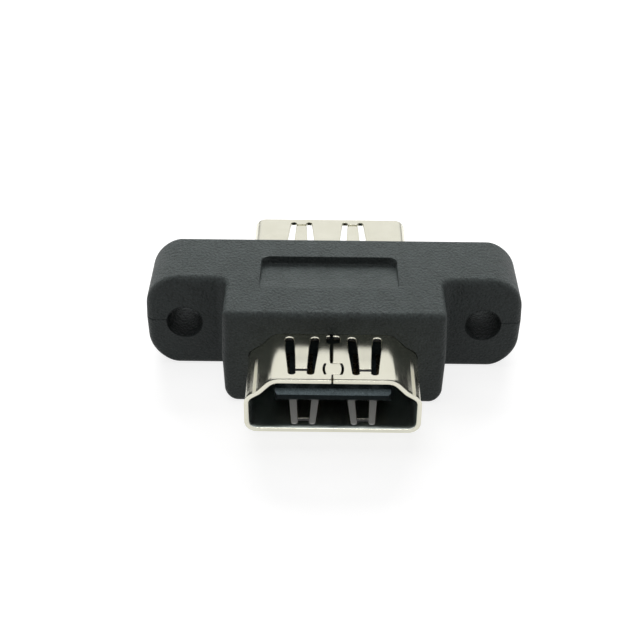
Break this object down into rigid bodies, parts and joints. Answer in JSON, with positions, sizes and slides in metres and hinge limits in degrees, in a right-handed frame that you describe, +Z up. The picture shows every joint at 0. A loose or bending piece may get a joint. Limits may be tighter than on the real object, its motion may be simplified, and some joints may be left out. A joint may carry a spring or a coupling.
{
  "type": "hdmi coupler",
  "caption": "Panel-mount coupler: a T-shaped moulded body with two screw ears and a receptacle facing each way, joining two audio-video leads.",
  "frame": {"origin": "midway between the two screw holes, on the panel face of the flange", "axes": "+X across the ears to the right, +Y backwards out of the panel face, +Z up; the camera looks from -Y"},
  "size_m": [0.0346, 0.027, 0.0096],
  "materials": {
    "body_plastic": "fine spark-eroded texture, satin",
    "core_plastic": "plain moulded, hidden",
    "nickel_plate": "bright nickel plate on stamped sheet",
    "insulator_plastic": "smooth moulded",
    "board_laminate": "lacquered laminate, hidden",
    "contact_gilt": "gold-plated strip"
  },
  "bodies": {
    "root": {"housing": "body_plastic", "core": "core_plastic", "front_shell": "nickel_plate", "rear_shell": "nickel_plate", "front_insulator": "insulator_plastic", "rear_insulator": "insulator_plastic", "circuit_board": "board_laminate", "front_contact_1": "contact_gilt", "front_contact_2": "contact_gilt", "front_contact_3": "contact_gilt", "front_contact_4": "contact_gilt", "front_contact_5": "contact_gilt", "front_contact_6": "contact_gilt", "front_contact_7": "contact_gilt", "front_contact_8": "contact_gilt", "front_contact_9": "contact_gilt", "front_contact_10": "contact_gilt", "front_contact_11": "contact_gilt", "front_contact_12": "contact_gilt", "front_contact_13": "contact_gilt", "front_contact_14": "contact_gilt", "front_contact_15": "contact_gilt", "front_contact_16": "contact_gilt", "front_contact_17": "contact_gilt", "front_contact_18": "contact_gilt", "front_contact_19": "contact_gilt", "rear_contact_1": "contact_gilt", "rear_contact_2": "contact_gilt", "rear_contact_3": "contact_gilt", "rear_contact_4": "contact_gilt", "rear_contact_5": "contact_gilt", "rear_contact_6": "contact_gilt", "rear_contact_7": "contact_gilt", "rear_contact_8": "contact_gilt", "rear_contact_9": "contact_gilt", "rear_contact_10": "contact_gilt", "rear_contact_11": "contact_gilt", "rear_contact_12": "contact_gilt", "rear_contact_13": "contact_gilt", "rear_contact_14": "contact_gilt", "rear_contact_15": "contact_gilt", "rear_contact_16": "contact_gilt", "rear_contact_17": "contact_gilt", "rear_contact_18": "contact_gilt", "rear_contact_19": "contact_gilt"}
  },
  "joints": []
}
